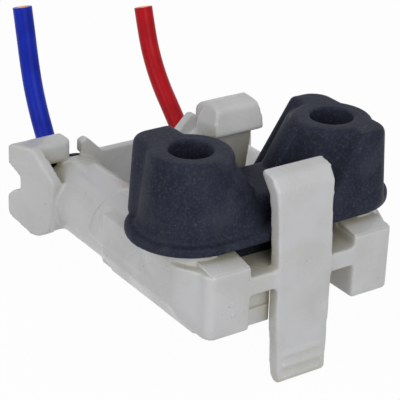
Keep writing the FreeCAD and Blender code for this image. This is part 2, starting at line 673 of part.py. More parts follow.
os.makedirs("parts", exist_ok=True)
for name, shape in build().items():
    print(name, len(shape.Solids), shape.isValid(), round(shape.Volume, 2))
    shape.exportStep("parts/" + name + ".step")
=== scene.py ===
"""Looks of the twin-tower pigtail connector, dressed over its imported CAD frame."""

import json
import logging
import math
from dataclasses import dataclass
from enum import Enum
from typing import Iterable, Sequence

import bpy
from mathutils import Matrix, Vector

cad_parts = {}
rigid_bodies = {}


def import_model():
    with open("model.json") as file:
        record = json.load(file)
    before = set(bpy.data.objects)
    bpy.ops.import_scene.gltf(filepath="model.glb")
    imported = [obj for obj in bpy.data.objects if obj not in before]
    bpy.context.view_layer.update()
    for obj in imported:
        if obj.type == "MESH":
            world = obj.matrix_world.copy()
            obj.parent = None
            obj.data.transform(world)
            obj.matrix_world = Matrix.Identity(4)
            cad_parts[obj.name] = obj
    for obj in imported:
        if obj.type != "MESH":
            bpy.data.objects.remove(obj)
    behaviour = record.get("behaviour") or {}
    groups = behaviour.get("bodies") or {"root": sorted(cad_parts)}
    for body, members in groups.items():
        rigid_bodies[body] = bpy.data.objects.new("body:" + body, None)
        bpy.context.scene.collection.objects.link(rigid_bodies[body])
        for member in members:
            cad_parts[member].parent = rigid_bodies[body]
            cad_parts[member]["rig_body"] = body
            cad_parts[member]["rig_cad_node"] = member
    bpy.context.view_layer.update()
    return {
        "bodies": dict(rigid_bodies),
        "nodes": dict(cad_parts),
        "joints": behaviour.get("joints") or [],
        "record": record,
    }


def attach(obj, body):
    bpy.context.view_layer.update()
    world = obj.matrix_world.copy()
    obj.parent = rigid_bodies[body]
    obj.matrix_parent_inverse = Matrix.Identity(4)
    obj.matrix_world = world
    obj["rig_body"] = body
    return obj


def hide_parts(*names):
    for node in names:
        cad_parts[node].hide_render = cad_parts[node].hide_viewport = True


MM = 0.001
BODY = "root"

ROLL_FACETS = 3
SMOOTH_BELOW = 50

Point = tuple[float, float, float]
Colour = tuple[float, float, float]

log = logging.getLogger("pigtail_connector")


class Insulation(Enum):
    """The two wires, by the colour of their insulation."""

    BLUE = "blue"
    RED = "red"


def deselect_all() -> None:
    """Clear the selection and leave no object active in edit mode."""
    if bpy.context.mode != "OBJECT":
        bpy.ops.object.mode_set(mode="OBJECT")
    bpy.ops.object.select_all(action="DESELECT")


def activate(piece: bpy.types.Object) -> None:
    """Make one object the only selected and the active one.

    Args:
        piece: The object to work on.
    """
    deselect_all()
    piece.select_set(True)
    bpy.context.view_layer.objects.active = piece


def apply_modifier(piece: bpy.types.Object, kind: str, **settings: object) -> None:
    """Add one modifier to a piece and apply it at once.

    Args:
        piece: The mesh object.
        kind: The modifier's type, such as "REMESH".
        **settings: Values for the modifier's own properties.
    """
    activate(piece)
    modifier = piece.modifiers.new(kind.lower(), kind)
    for name, value in settings.items():
        setattr(modifier, name, value)
    bpy.ops.object.modifier_apply(modifier=modifier.name)


def settle(piece: bpy.types.Object) -> None:
    """Put a piece's place, turn and scale into its mesh.

    Args:
        piece: The mesh object, whose own transform becomes the identity.
    """
    activate(piece)
    bpy.ops.object.transform_apply(location=True, rotation=True, scale=True)


def join(pieces: Sequence[bpy.types.Object], name: str) -> bpy.types.Object:
    """Join several meshes into one named object.

    Args:
        pieces: The mesh objects; the first one stays.
        name: The joined object's name.

    Returns:
        The joined object.
    """
    deselect_all()
    for piece in pieces:
        piece.select_set(True)
    bpy.context.view_layer.objects.active = pieces[0]
    bpy.ops.object.join()
    joined = bpy.context.object
    joined.name = name
    return joined


def dress(piece: bpy.types.Object, material: bpy.types.Material) -> None:
    """Give a piece one material in place of all those it has.

    Args:
        piece: The object to dress.
        material: The finish it takes.
    """
    piece.data.materials.clear()
    piece.data.materials.append(material)


def mount(piece: bpy.types.Object) -> None:
    """Tie a finished piece to the connector's body.

    Args:
        piece: The finished object.
    """
    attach(piece, BODY)
    log.info("piece %s made", piece.name)


def plain_block(name: str, low: Point, high: Point) -> bpy.types.Object:
    """Add a block between two corners.

    Args:
        name: The block's name.
        low: Its corner with the least coordinates, in millimetres.
        high: Its opposite corner, in millimetres.

    Returns:
        The block, with its place in its mesh.
    """
    deselect_all()
    bpy.ops.mesh.primitive_cube_add(size=1.0)
    block = bpy.context.object
    block.name = name
    block.scale = (Vector(high) - Vector(low)) * MM
    block.location = (Vector(low) + Vector(high)) * MM / 2
    settle(block)
    return block


def roll_edges(piece: bpy.types.Object, width: float, sharpest: float) -> None:
    """Round a piece's sharp edges and shade the rest of it smooth.

    Args:
        piece: The mesh object.
        width: How far the rounding reaches from the edge, in metres.
        sharpest: The bend, in degrees, from which an edge is rounded.
    """
    apply_modifier(piece, "BEVEL", width=width, segments=ROLL_FACETS, limit_method="ANGLE",
                   angle_limit=math.radians(sharpest))
    activate(piece)
    bpy.ops.object.shade_smooth_by_angle(angle=math.radians(SMOOTH_BELOW))


@dataclass(frozen=True)
class Cloud:
    """Soft irregular pattern: its waves a metre, its finer layers and where it starts and is full."""

    scale: float
    detail: float
    start: float
    full: float


@dataclass(frozen=True)
class Specks:
    """Scatter of round specks: cells a metre, a speck's share of its cell and how many cells have one."""

    scale: float
    size: float
    share: float


@dataclass(frozen=True)
class PaintedShade:
    """Painted shade of hollow places: the colour painted there, its reach, and how open a place is where it
    is full and gone.
    """

    colour: Colour
    reach: float
    full: float
    gone: float


class NodeCanvas:
    """A node tree with short calls to add and join its nodes."""

    MIX_FACTOR = 0
    MIX_FIRST = 6
    MIX_SECOND = 7
    MIX_COLOUR = 2

    def __init__(self, tree: bpy.types.NodeTree) -> None:
        """Start on a tree, which may already hold nodes."""
        self.tree = tree

    def add(self, kind: str, **values: object) -> bpy.types.Node:
        """Add a node and set its properties.

        Args:
            kind: The node's type name.
            **values: Values for the node's own properties.

        Returns:
            The new node.
        """
        node = self.tree.nodes.new(kind)
        for name, value in values.items():
            setattr(node, name, value)
        return node

    def link(self, source: bpy.types.NodeSocket, target: bpy.types.NodeSocket) -> None:
        """Join an output to an input."""
        self.tree.links.new(source, target)

    def feed(self, target: bpy.types.NodeSocket, value: object) -> None:
        """Give an input its value.

        Args:
            target: The input.
            value: A socket to join to it, or a constant.
        """
        if isinstance(value, bpy.types.NodeSocket):
            self.link(value, target)
        else:
            target.default_value = value

    def place(self, group: bpy.types.NodeTree, **values: object) -> bpy.types.Node:
        """Place a shared group.

        Args:
            group: The group's tree.
            **values: What its inputs get, by their names in lower case with underscores.

        Returns:
            The group's node.
        """
        node = self.add("ShaderNodeGroup", node_tree=group)
        for name, value in values.items():
            self.feed(node.inputs[name.replace("_", " ").title()], value)
        return node

    def maths(self, operation: str, *values: object) -> bpy.types.NodeSocket:
        """Add one sum.

        Args:
            operation: The Math node's operation.
            *values: Its two or three terms, each a socket or a number.

        Returns:
            The result's socket.
        """
        node = self.add("ShaderNodeMath", operation=operation)
        for target, value in zip(node.inputs, values):
            self.feed(target, value)
        return node.outputs[0]

    def noise(self, vector: bpy.types.NodeSocket, scale: object, detail: float) -> bpy.types.NodeSocket:
        """Add a noise texture.

        Args:
            vector: The coordinates it reads.
            scale: A socket or a number, in waves a metre.
            detail: How many finer layers it has.

        Returns:
            The noise's factor.
        """
        node = self.add("ShaderNodeTexNoise")
        self.feed(node.inputs["Vector"], vector)
        self.feed(node.inputs["Scale"], scale)
        self.feed(node.inputs["Detail"], detail)
        return node.outputs["Fac"]

    def spread(self, value: bpy.types.NodeSocket, low: object, high: object) -> bpy.types.NodeSocket:
        """Stretch a value so that low becomes 0 and high becomes 1, with soft ends.

        Args:
            value: The socket to stretch.
            low: A socket or a number.
            high: A socket or a number.

        Returns:
            The stretched value.
        """
        node = self.add("ShaderNodeMapRange", interpolation_type="SMOOTHSTEP")
        self.feed(node.inputs["Value"], value)
        self.feed(node.inputs["From Min"], low)
        self.feed(node.inputs["From Max"], high)
        return node.outputs["Result"]

    def cloud(self, vector: bpy.types.NodeSocket, pattern: Cloud) -> bpy.types.NodeSocket:
        """Add a soft irregular pattern from 0 to 1."""
        return self.spread(self.noise(vector, pattern.scale, pattern.detail), pattern.start, pattern.full)

    def mix(self, factor: bpy.types.NodeSocket, first: object, second: object) -> bpy.types.NodeSocket:
        """Mix two colours.

        Args:
            factor: How much of the second there is.
            first: A colour or a socket.
            second: A colour or a socket.

        Returns:
            The mixed colour.
        """
        node = self.add("ShaderNodeMix", data_type="RGBA")
        self.feed(node.inputs[self.MIX_FACTOR], factor)
        for target, colour in ((self.MIX_FIRST, first), (self.MIX_SECOND, second)):
            self.feed(node.inputs[target], (*colour, 1.0) if isinstance(colour, tuple) else colour)
        return node.outputs[self.MIX_COLOUR]


class SharedPatterns:
    """Node groups that more than one finish uses, each built once."""

    FACTOR = "NodeSocketFloat"
    VECTOR = "NodeSocketVector"
    GRAIN_DETAIL = 2.0
    SWELL_RANGE = (0.32, 0.68)
    SPECK_EDGE = 0.12
    DRIFT = Cloud(scale=260.0, detail=1.0, start=0.38, full=0.62)
    OPENNESS_RAYS = 8

    def __init__(self) -> None:
        """Build the groups."""
        self.skin = self._skin()
        self.specks = self._specks()
        self.openness = self._openness()

    @staticmethod
    def _group(name: str, inputs: Iterable[tuple[str, str]],
               outputs: Iterable[str]) -> tuple[NodeCanvas, dict, dict]:
        """Make an empty group with named sockets.

        Args:
            name: The group's name.
            inputs: Name and socket type of each input.
            outputs: Name of each output, a number each.

        Returns:
            A canvas on the group, its input sockets and its output sockets by name.
        """
        tree = bpy.data.node_groups.new(name, "ShaderNodeTree")
        for label, kind in inputs:
            tree.interface.new_socket(label, in_out="INPUT", socket_type=kind)
        for label in outputs:
            tree.interface.new_socket(label, in_out="OUTPUT", socket_type=SharedPatterns.FACTOR)
        canvas = NodeCanvas(tree)
        entry = canvas.add("NodeGroupInput")
        leave = canvas.add("NodeGroupOutput")
        ins = {socket.name: socket for socket in entry.outputs}
        outs = {socket.name: socket for socket in leave.inputs}
        return canvas, ins, outs

    def _skin(self) -> bpy.types.NodeTree:
        """Fine grain and broad unevenness of a moulded skin.

        Returns:
            A group that gives the skin's height and its slow variation from 0 to 1.
        """
        canvas, ins, outs = self._group(
            "moulded_skin",
            [("Vector", self.VECTOR), ("Grain Scale", self.FACTOR), ("Swell Scale", self.FACTOR),
             ("Grain Share", self.FACTOR)],
            ["Height", "Variation"],
        )
        grain = canvas.noise(ins["Vector"], ins["Grain Scale"], self.GRAIN_DETAIL)
        swell = canvas.noise(ins["Vector"], ins["Swell Scale"], self.GRAIN_DETAIL)
        grain_part = canvas.maths("MULTIPLY", grain, ins["Grain Share"])
        canvas.link(canvas.maths("ADD", grain_part, swell), outs["Height"])
        canvas.link(canvas.spread(swell, *self.SWELL_RANGE), outs["Variation"])
        return canvas.tree

    def _specks(self) -> bpy.types.NodeTree:
        """Scattered round specks, such as dust, thinner in some places than in others.

        Returns:
            A group that gives the specks as a mask from 0 to 1.
        """
        canvas, ins, outs = self._group(
            "scattered_specks",
            [("Vector", self.VECTOR), ("Scale", self.FACTOR), ("Size", self.FACTOR), ("Share", self.FACTOR)],
            ["Mask"],
        )
        cells = canvas.add("ShaderNodeTexVoronoi")
        canvas.link(ins["Vector"], cells.inputs["Vector"])
        canvas.link(ins["Scale"], cells.inputs["Scale"])
        near = canvas.maths("SUBTRACT", ins["Size"], cells.outputs["Distance"])
        speck = canvas.spread(near, 0.0, self.SPECK_EDGE)
        chance = canvas.add("ShaderNodeSeparateColor")
        canvas.link(cells.outputs["Color"], chance.inputs[0])
        chosen = canvas.maths("LESS_THAN", chance.outputs[0], ins["Share"])
        drift = canvas.cloud(ins["Vector"], self.DRIFT)
        canvas.link(canvas.maths("MULTIPLY", canvas.maths("MULTIPLY", speck, chosen), drift), outs["Mask"])
        return canvas.tree

    def _openness(self) -> bpy.types.NodeTree:
        """How open to the air a place is, as the mask for shade painted into hollows.

        Returns:
            A group that gives 0 in a hollow and 1 in the open.
        """
        canvas, ins, outs = self._group(
            "openness", [("Reach", self.FACTOR), ("Full", self.FACTOR), ("Gone", self.FACTOR)], ["Mask"])
        # Ambient occlusion gives the mask for shade painted into hollows.
        air = canvas.add("ShaderNodeAmbientOcclusion", samples=self.OPENNESS_RAYS)
        canvas.link(ins["Reach"], air.inputs["Distance"])
        canvas.link(canvas.spread(air.outputs["AO"], ins["Full"], ins["Gone"]), outs["Mask"])
        return canvas.tree


@dataclass(frozen=True)
class Undercoat:
    """A material begun: what a finish adds its own nodes to."""

    material: bpy.types.Material
    canvas: NodeCanvas
    shader: bpy.types.Node
    surface: bpy.types.NodeSocket
    variation: bpy.types.NodeSocket
    colour: bpy.types.NodeSocket


@dataclass(frozen=True)
class Finish:
    """What every finish has in common: two colours that run into one another, and a moulded skin."""

    name: str
    base: Colour
    turned: Colour
    roughness: float
    roughness_span: float
    grain_scale: float
    swell_scale: float
    bump: float
    grain_share: float = 0.3
    bump_depth: float = 0.1 * MM

    def begin(self, patterns: SharedPatterns) -> Undercoat:
        """Make the material with its coordinates, skin and bump.

        Args:
            patterns: The shared node groups.

        Returns:
            The material begun.
        """
        material = bpy.data.materials.new(self.name)
        material.use_nodes = True
        canvas = NodeCanvas(material.node_tree)
        shader = material.node_tree.nodes["Principled BSDF"]
        surface = canvas.add("ShaderNodeTexCoord").outputs["Object"]
        skin = canvas.place(patterns.skin, vector=surface, grain_scale=self.grain_scale,
                            swell_scale=self.swell_scale, grain_share=self.grain_share)
        bump = canvas.add("ShaderNodeBump")
        bump.inputs["Strength"].default_value = self.bump
        bump.inputs["Distance"].default_value = self.bump_depth
        canvas.link(skin.outputs["Height"], bump.inputs["Height"])
        canvas.link(bump.outputs["Normal"], shader.inputs["Normal"])
        variation = skin.outputs["Variation"]
        colour = canvas.mix(variation, self.base, self.turned)
        return Undercoat(material, canvas, shader, surface, variation, colour)

    def complete(self, coat: Undercoat, colour: bpy.types.NodeSocket,
                 dulled: bpy.types.NodeSocket) -> bpy.types.Material:
        """Give the shader its colour and its roughness.

        Args:
            coat: The material begun.
            colour: The finished colour.
            dulled: Pattern from 0 to 1 that the roughness rises with.

        Returns:
            The finished material.
        """
        coat.canvas.link(colour, coat.shader.inputs["Base Color"])
        rough = coat.canvas.maths("MULTIPLY_ADD", dulled, self.roughness_span, self.roughness)
        coat.canvas.link(rough, coat.shader.inputs["Roughness"])
        return coat.material

    @staticmethod
    def shade(coat: Undercoat, patterns: SharedPatterns, recess_shade: PaintedShade,
              colour: bpy.types.NodeSocket) -> bpy.types.NodeSocket:
        """Paint shade into a colour: turn it towards the shade's colour where there is little open air.

        Args:
            coat: The material begun.
            patterns: The shared node groups.
            recess_shade: The shade painted into hollows, with its colour and reach.
            colour: The colour in the open.

        Returns:
            The shaded colour.
        """
        # Painted shade: hollows with little open air turn towards the shade colour.
        air = coat.canvas.place(patterns.openness, reach=recess_shade.reach, full=recess_shade.full, gone=recess_shade.gone)
        return coat.canvas.mix(air.outputs["Mask"], recess_shade.colour, colour)

    @staticmethod
    def sprinkle(coat: Undercoat, patterns: SharedPatterns, specks: Specks, tint: Colour,
                 colour: bpy.types.NodeSocket) -> bpy.types.NodeSocket:
        """Scatter specks over a colour.

        Args:
            coat: The material begun.
            patterns: The shared node groups.
            specks: The scatter.
            tint: The specks' colour.
            colour: The colour under them.

        Returns:
            The speckled colour.
        """
        scatter = coat.canvas.place(patterns.specks, vector=coat.surface, scale=specks.scale,
                                    size=specks.size, share=specks.share)
        return coat.canvas.mix(scatter.outputs["Mask"], colour, tint)


@dataclass(frozen=True)
class MouldedNylon(Finish):
    """Off-white nylon that lets a little light in, with a few dark specks and a warm beige shade painted
    into its hollows.
    """

    # Painted shade: the nylon's hollows turn warm beige where little open air reaches them.
    recess_shade: PaintedShade = PaintedShade((0.53, 0.51, 0.41), reach=7.0 * MM, full=0.20, gone=0.85)
    speck: Colour = (0.40, 0.36, 0.29)
    specks: Specks = Specks(scale=900.0, size=0.16, share=0.10)
    glow: float = 0.12
    glow_depth: float = 1.2 * MM
    glow_reach: Colour = (1.0, 0.85, 0.6)
    specular: float = 0.50

    def build(self, patterns: SharedPatterns) -> bpy.types.Material:
        """Make the material.

        Args:
            patterns: The shared node groups.

        Returns:
            The finished material.
        """
        coat = self.begin(patterns)
        # Paint the warm beige shade into the nylon's hollows.
        colour = self.shade(coat, patterns, self.recess_shade, coat.colour)
        colour = self.sprinkle(coat, patterns, self.specks, self.speck, colour)
        coat.shader.inputs["Subsurface Weight"].default_value = self.glow
        coat.shader.inputs["Subsurface Radius"].default_value = self.glow_reach
        coat.shader.inputs["Subsurface Scale"].default_value = self.glow_depth
        coat.shader.inputs["Specular IOR Level"].default_value = self.specular
        return self.complete(coat, colour, coat.variation)


@dataclass(frozen=True)
class DustyRubber(Finish):
    """Blue-black rubber with a pale haze and dust on it, and near-black shade painted into its bores and
    hollows.
    """

    haze: Colour = (0.062, 0.067, 0.090)
    cloud: Cloud = Cloud(scale=150.0, detail=3.0, start=0.46, full=0.74)
    cloud_share: float = 0.55
    powder: Cloud = Cloud(scale=2600.0, detail=3.0, start=0.42, full=0.92)
    # Painted shade: the rubber's bores and hollows turn near black where little open air reaches them.
    recess_shade: PaintedShade = PaintedShade((0.004, 0.004, 0.006), reach=5.0 * MM, full=0.10, gone=0.60)
    dust: Colour = (0.12, 0.125, 0.15)
    dust_layers: Sequence[Specks] = (Specks(1700.0, 0.17, 0.10), Specks(2600.0, 0.20, 0.16))
    specular: float = 0.06

    def build(self, patterns: SharedPatterns) -> bpy.types.Material:
        """Make the material.

        Args:
            patterns: The shared node groups.

        Returns:
            The finished material.
        """
        coat = self.begin(patterns)
        canvas = coat.canvas
        cloud = canvas.cloud(coat.surface, self.cloud)
        colour = canvas.mix(canvas.maths("MULTIPLY", cloud, self.cloud_share), coat.colour, self.haze)
        colour = canvas.mix(canvas.cloud(coat.surface, self.powder), colour, self.haze)
        # Paint the near-black shade into the rubber's bores and hollows.
        colour = self.shade(coat, patterns, self.recess_shade, colour)
        for layer in self.dust_layers:
            colour = self.sprinkle(coat, patterns, layer, self.dust, colour)
        coat.shader.inputs["Specular IOR Level"].default_value = self.specular
        return self.complete(coat, colour, cloud)


@dataclass(frozen=True)
class WireInsulation(Finish):
    """Smooth thin-wall insulation with a faint gloss."""

    coat_weight: float = 0.03
    coat_roughness: float = 0.2
    specular: float = 0.14

    def build(self, patterns: SharedPatterns) -> bpy.types.Material:
        """Make the material.

        Args:
            patterns: The shared node groups.

        Returns:
            The finished material.
        """
        coat = self.begin(patterns)
        coat.shader.inputs["Coat Weight"].default_value = self.coat_weight
        coat.shader.inputs["Coat Roughness"].default_value = self.coat_roughness
        coat.shader.inputs["Specular IOR Level"].default_value = self.specular
        return self.complete(coat, coat.colour, coat.variation)


@dataclass(frozen=True)
class PlainMetal(Finish):
    """Metal of a terminal or a conductor."""

    def build(self, patterns: SharedPatterns) -> bpy.types.Material:
        """Make the material.

        Args:
            patterns: The shared node groups.

        Returns:
            The finished material.
        """
        coat = self.begin(patterns)
        coat.shader.inputs["Metallic"].default_value = 1.0
        return self.complete(coat, coat.colour, coat.variation)


class Finishes:
    """The connector's materials, by the record's slot."""

    RECIPES = {
        "housing": MouldedNylon(
            "ivory_nylon", base=(0.64, 0.645, 0.655), turned=(0.59, 0.59, 0.585),
            roughness=0.21, roughness_span=0.12, grain_scale=2600.0, swell_scale=160.0, bump=0.30),
        "boot_seal": DustyRubber(
            "boot_rubber", base=(0.019, 0.021, 0.038), turned=(0.027, 0.031, 0.051),
            roughness=0.50, roughness_span=0.15, grain_scale=3400.0, swell_scale=260.0, bump=0.40),
        "wire_seal": DustyRubber(
            "plug_rubber", base=(0.008, 0.008, 0.010), turned=(0.013, 0.013, 0.016),
            roughness=0.45, roughness_span=0.15, grain_scale=3400.0, swell_scale=260.0, bump=0.30),
        "blue_insulation": WireInsulation(
            "blue_insulation", base=(0.004, 0.024, 0.47), turned=(0.003, 0.016, 0.36),
            roughness=0.34, roughness_span=0.1, grain_scale=1800.0, swell_scale=240.0, bump=0.12),
        "red_insulation": WireInsulation(
            "red_insulation", base=(0.55, 0.003, 0.012), turned=(0.44, 0.002, 0.008),
            roughness=0.34, roughness_span=0.1, grain_scale=1800.0, swell_scale=240.0, bump=0.12),
        "terminal": PlainMetal(
            "tinned_brass", base=(0.66, 0.63, 0.55), turned=(0.56, 0.53, 0.45),
            roughness=0.26, roughness_span=0.2, grain_scale=1600.0, swell_scale=300.0, bump=0.15),
        "strands": PlainMetal(
            "bare_copper", base=(0.80, 0.40, 0.24), turned=(0.66, 0.30, 0.17),
            roughness=0.32, roughness_span=0.2, grain_scale=2400.0, swell_scale=500.0, bump=0.15),
    }

    def __init__(self) -> None:
        """Make every material once."""
        patterns = SharedPatterns()
        self._made = {slot: finish.build(patterns) for slot, finish in self.RECIPES.items()}

    def of(self, slot: str) -> bpy.types.Material:
        """The material of one slot."""
        return self._made[slot]


@dataclass
class SoftenedMoulding:
    """A moulded piece whose edges are rolled as the mould leaves them."""

    node: str
    name: str
    slot: str
    cell: float
    passes: int
    kept_share: float
    merge_below: float = 0.001 * MM
    smoothing: float = 0.5

    def build(self, frame: dict, finishes: Finishes) -> bpy.types.Object:
        """Copy the CAD node, roll its edges and let the copy stand for it.

        Args:
            finishes: The connector's materials.

        Returns:
            The finished piece.
        """
        source = frame["nodes"][self.node]
        activate(source)
        bpy.ops.object.duplicate()
        piece = bpy.context.object
        piece.name = self.name
        bpy.ops.object.parent_clear(type="CLEAR_KEEP_TRANSFORM")
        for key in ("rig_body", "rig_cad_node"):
            if key in piece:
                del piece[key]
        bpy.ops.object.mode_set(mode="EDIT")
        bpy.ops.mesh.select_all(action="SELECT")
        bpy.ops.mesh.remove_doubles(threshold=self.merge_below)
        bpy.ops.object.mode_set(mode="OBJECT")
        apply_modifier(piece, "REMESH", mode="VOXEL", voxel_size=self.cell)
        apply_modifier(piece, "SMOOTH", factor=self.smoothing, iterations=self.passes)
        apply_modifier(piece, "DECIMATE", ratio=self.kept_share)
        activate(piece)
        bpy.ops.object.shade_smooth()
        dress(piece, finishes.of(self.slot))
        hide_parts(self.node)
        mount(piece)
        log.info("%s has %d faces", piece.name, len(piece.data.polygons))
        return piece


@dataclass
class StrandEnd:
    """The cut end of a wire's conductor: strands laid round one another."""

    name: str
    tip: Vector
    heading: Vector
    strand_radius: float = 0.185 * MM
    pitch: float = 0.375 * MM
    depth: float = 0.9 * MM
    proud: float = 0.12 * MM
    rings: int = 2
    sides: int = 10
    end_roll: float = 0.06 * MM
    sharpest: float = 60
    smooth_below: float = 40
    row_turn: float = math.radians(60)

    def _places(self) -> list[tuple[float, float]]:
        """Centres of the strands across the wire.

        Returns:
            The places row by row, which fill a hexagon.
        """
        row_pitch = self.pitch * math.sin(self.row_turn)
        places = []
        for row in range(-self.rings, self.rings + 1):
            count = 2 * self.rings + 1 - abs(row)
            for column in range(count):
                across = (column - (count - 1) / 2) * self.pitch
                places.append((across, row * row_pitch))
        return places

    def build(self, finishes: Finishes) -> bpy.types.Object:
        """Make one strand, copy it to every place and turn the bundle to the wire's end.

        Args:
            finishes: The connector's materials.

        Returns:
            The bundle.
        """
        deselect_all()
        bpy.ops.mesh.primitive_cylinder_add(vertices=self.sides, radius=self.strand_radius, depth=self.depth,
                                            location=(0, 0, self.proud - self.depth / 2))
        strand = bpy.context.object
        settle(strand)
        apply_modifier(strand, "BEVEL", width=self.end_roll, segments=2, limit_method="ANGLE",
                       angle_limit=math.radians(self.sharpest))
        strands = []
        for across, along in self._places():
            activate(strand)
            bpy.ops.object.duplicate()
            copy = bpy.context.object
            copy.location = (across, along, 0)
            settle(copy)
            strands.append(copy)
        bpy.data.objects.remove(strand)
        bundle = join(strands, self.name)
        turn = self.heading.to_track_quat("Z", "Y").to_matrix().to_4x4()
        bundle.matrix_world = Matrix.Translation(self.tip) @ turn
        settle(bundle)
        bpy.ops.object.shade_smooth_by_angle(angle=math.radians(self.smooth_below))
        dress(bundle, finishes.of("strands"))
        mount(bundle)
        return bundle


@dataclass
class Wire:
    """One wire from its seal to its cut end."""

    insulation: Insulation
    route_mm: Sequence[Point]
    length: float
    radius: float = 1.6 * MM
    steps: int = 10
    roundness: int = 7

    def _route(self) -> list[Vector]:
        """The route's points in metres."""
        return [Vector(point) * MM for point in self.route_mm]

    def build(self, finishes: Finishes) -> bpy.types.Object:
        """Draw the wire as one smooth curve, with its strands at the cut end.

        Args:
            finishes: The connector's materials.

        Returns:
            The wire's curve.
        """
        colour = self.insulation.value
        points = self._route()
        name = colour + "_wire_cord"
        curve = bpy.data.curves.new(name, "CURVE")
        curve.dimensions = "3D"
        spline = curve.splines.new("NURBS")
        spline.points.add(len(points) - 1)
        for control, point in zip(spline.points, points):
            control.co = (*point, 1.0)
        spline.order_u = 3
        spline.use_endpoint_u = True
        spline.resolution_u = self.steps
        curve.bevel_depth = self.radius
        curve.bevel_resolution = self.roundness
        curve.use_fill_caps = True
        cord = bpy.data.objects.new(name, curve)
        bpy.context.scene.collection.objects.link(cord)
        dress(cord, finishes.of(colour + "_insulation"))
        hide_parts(colour + "_wire")
        mount(cord)
        heading = (points[-1] - points[-2]).normalized()
        end = StrandEnd(colour + "_strand_end", points[-1], heading).build(finishes)
        return cord


@dataclass
class GateMark:
    """Small vestige that the mould's gate leaves on the front of the left-hand block."""

    name: str = "gate_mark"
    place: Point = (-12.6, -11.6, 4.2)
    spots: Sequence[tuple[float, float, float]] = ((0.0, 0.9, 0.50), (0.15, -0.9, 0.36))
    proud: float = 0.12
    tallness: float = 1.15

    def build(self, finishes: Finishes) -> bpy.types.Object:
        """Make the mark's low mounds.

        Args:
            finishes: The connector's materials.

        Returns:
            The joined mounds.
        """
        mounds = []
        for across, up, radius in self.spots:
            deselect_all()
            bpy.ops.mesh.primitive_uv_sphere_add(segments=20, ring_count=12, radius=radius * MM)
            mound = bpy.context.object
            mound.scale = (1.0, self.proud / radius, self.tallness)
            mound.location = Vector((self.place[0] + across, self.place[1], self.place[2] + up)) * MM
            settle(mound)
            bpy.ops.object.shade_smooth()
            mounds.append(mound)
        mark = join(mounds, self.name)
        dress(mark, finishes.of("housing"))
        mount(mark)
        return mark


@dataclass
class Shoulder:
    """Ramp on top of one front block, which rises to the seal's flange."""

    name: str
    side: int
    inner: float = 9.55
    outer: float = 16.15
    front: float = -11.2
    back: float = -3.5
    foot: float = 9.9
    top: float = 11.86
    fall: float = 1.6
    edge: float = 0.4
    sharpest: float = 20

    def build(self, finishes: Finishes) -> bpy.types.Object:
        """Make the ramp from a block whose front is let down.

        Args:
            finishes: The connector's materials.

        Returns:
            The finished ramp.
        """
        left, right = sorted((self.side * self.inner, self.side * self.outer))
        ramp = plain_block(self.name, (left, self.front, self.foot), (right, self.back, self.top))
        half_way = (self.front + self.back) * MM / 2
        half_up = (self.foot + self.top) * MM / 2
        bpy.ops.object.mode_set(mode="EDIT")
        bpy.ops.mesh.select_all(action="DESELECT")
        bpy.ops.object.mode_set(mode="OBJECT")
        for vertex in ramp.data.vertices:
            vertex.select = vertex.co.z > half_up and vertex.co.y < half_way
        bpy.ops.object.mode_set(mode="EDIT")
        bpy.ops.mesh.select_mode(type="VERT")
        bpy.ops.transform.translate(value=(0, 0, -self.fall * MM))
        bpy.ops.object.mode_set(mode="OBJECT")
        roll_edges(ramp, self.edge * MM, self.sharpest)
        dress(ramp, finishes.of("housing"))
        mount(ramp)
        return ramp


@dataclass
class StopWeb:
    """Stepped web behind the tab, beside the left-hand block, that limits the tab's travel."""

    name: str = "stop_web"
    left: float = -9.6
    right: float = -4.3
    front: float = -9.35
    back: float = -8.0
    foot: float = -0.9
    step: float = 1.9
    top: float = 5.7
    setback: float = 0.35
    margin: float = 0.02
    edge: float = 0.18
    sharpest: float = 40
    front_facing: float = -0.9

    def build(self, finishes: Finishes) -> bpy.types.Object:
        """Make the web from one block, stepped across its front.

        Args:
            finishes: The connector's materials.

        Returns:
            The finished web.
        """
        web = plain_block(self.name, (self.left, self.front, self.foot), (self.right, self.back, self.top))
        bpy.ops.object.mode_set(mode="EDIT")
        bpy.ops.mesh.select_all(action="SELECT")
        bpy.ops.mesh.bisect(plane_co=(0, 0, self.step * MM), plane_no=(0, 0, 1))
        bpy.ops.mesh.select_all(action="DESELECT")
        bpy.ops.object.mode_set(mode="OBJECT")
        for face in web.data.polygons:
            face.select = face.normal.y < self.front_facing and face.center.z > self.step * MM
        bpy.ops.object.mode_set(mode="EDIT")
        bpy.ops.mesh.select_mode(type="FACE")
        bpy.ops.mesh.inset(thickness=self.margin * MM)
        bpy.ops.transform.translate(value=(0, self.setback * MM, 0))
        bpy.ops.object.mode_set(mode="OBJECT")
        roll_edges(web, self.edge * MM, self.sharpest)
        dress(web, finishes.of("housing"))
        mount(web)
        return web


@dataclass(frozen=True)
class Lamp:
    """Square soft lamp: its place and side in metres, and its power in watts."""

    name: str
    place: Point
    side: float
    power: float

    def build(self, target: Point) -> None:
        """Hang the lamp and point it at the connector.

        Args:
            target: The point it shines on, in metres.
        """
        data = bpy.data.lights.new(self.name, "AREA")
        data.size = self.side
        data.energy = self.power
        lamp = bpy.data.objects.new(self.name, data)
        bpy.context.scene.collection.objects.link(lamp)
        lamp.location = self.place
        aim = Vector(target) - Vector(self.place)
        lamp.rotation_mode = "QUATERNION"
        lamp.rotation_quaternion = aim.to_track_quat("-Z", "Y")


